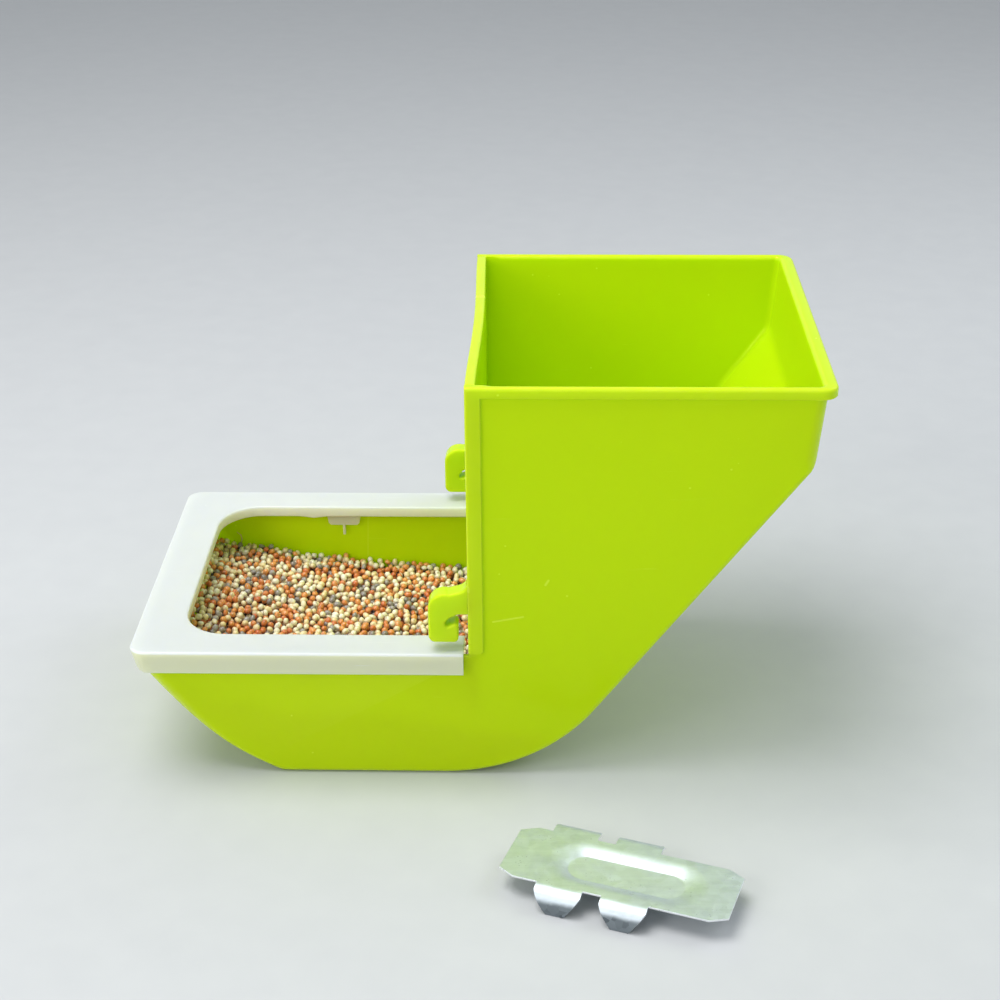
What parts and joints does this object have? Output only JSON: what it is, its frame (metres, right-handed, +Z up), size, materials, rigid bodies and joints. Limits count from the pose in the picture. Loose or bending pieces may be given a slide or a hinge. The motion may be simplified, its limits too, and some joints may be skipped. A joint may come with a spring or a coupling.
{
  "type": "rabbit hopper feeder",
  "caption": "Hopper feeder for a mesh rabbit cage: open hopper, throat and tray in one moulding, hooked wall, removable guard ring and a sheet-metal mesh clip.",
  "frame": {"origin": "on the cage side of the hook wall, midway between the two hooks, at the height of the wire that they hang on", "axes": "+X from the tray to the back of the hopper, +Y across the width, +Z up"},
  "size_m": [0.2725, 0.2429, 0.176],
  "materials": {
    "green_plastic": "lime green polypropylene, satin gloss",
    "white_plastic": "milky white polypropylene, satin gloss",
    "galvanised_sheet": "galvanised sheet, fine rolling lines"
  },
  "bodies": {
    "feeder": {"hopper_body": "green_plastic", "hook_wall": "green_plastic"},
    "guard": {"guard_ring": "white_plastic"},
    "clip": {"cage_clip": "galvanised_sheet"}
  },
  "joints": [
    {"name": "guard_tilt", "type": "hinge", "parent": "feeder", "child": "guard", "pos_m": [-0.002, 0, -0.017], "axis": [0, 1, 0], "range_deg": [0, 14]},
    {"name": "clip_lift", "type": "slide", "parent": "feeder", "child": "clip", "axis": [0, 0, 1], "range_m": [0, 0.12]}
  ]
}
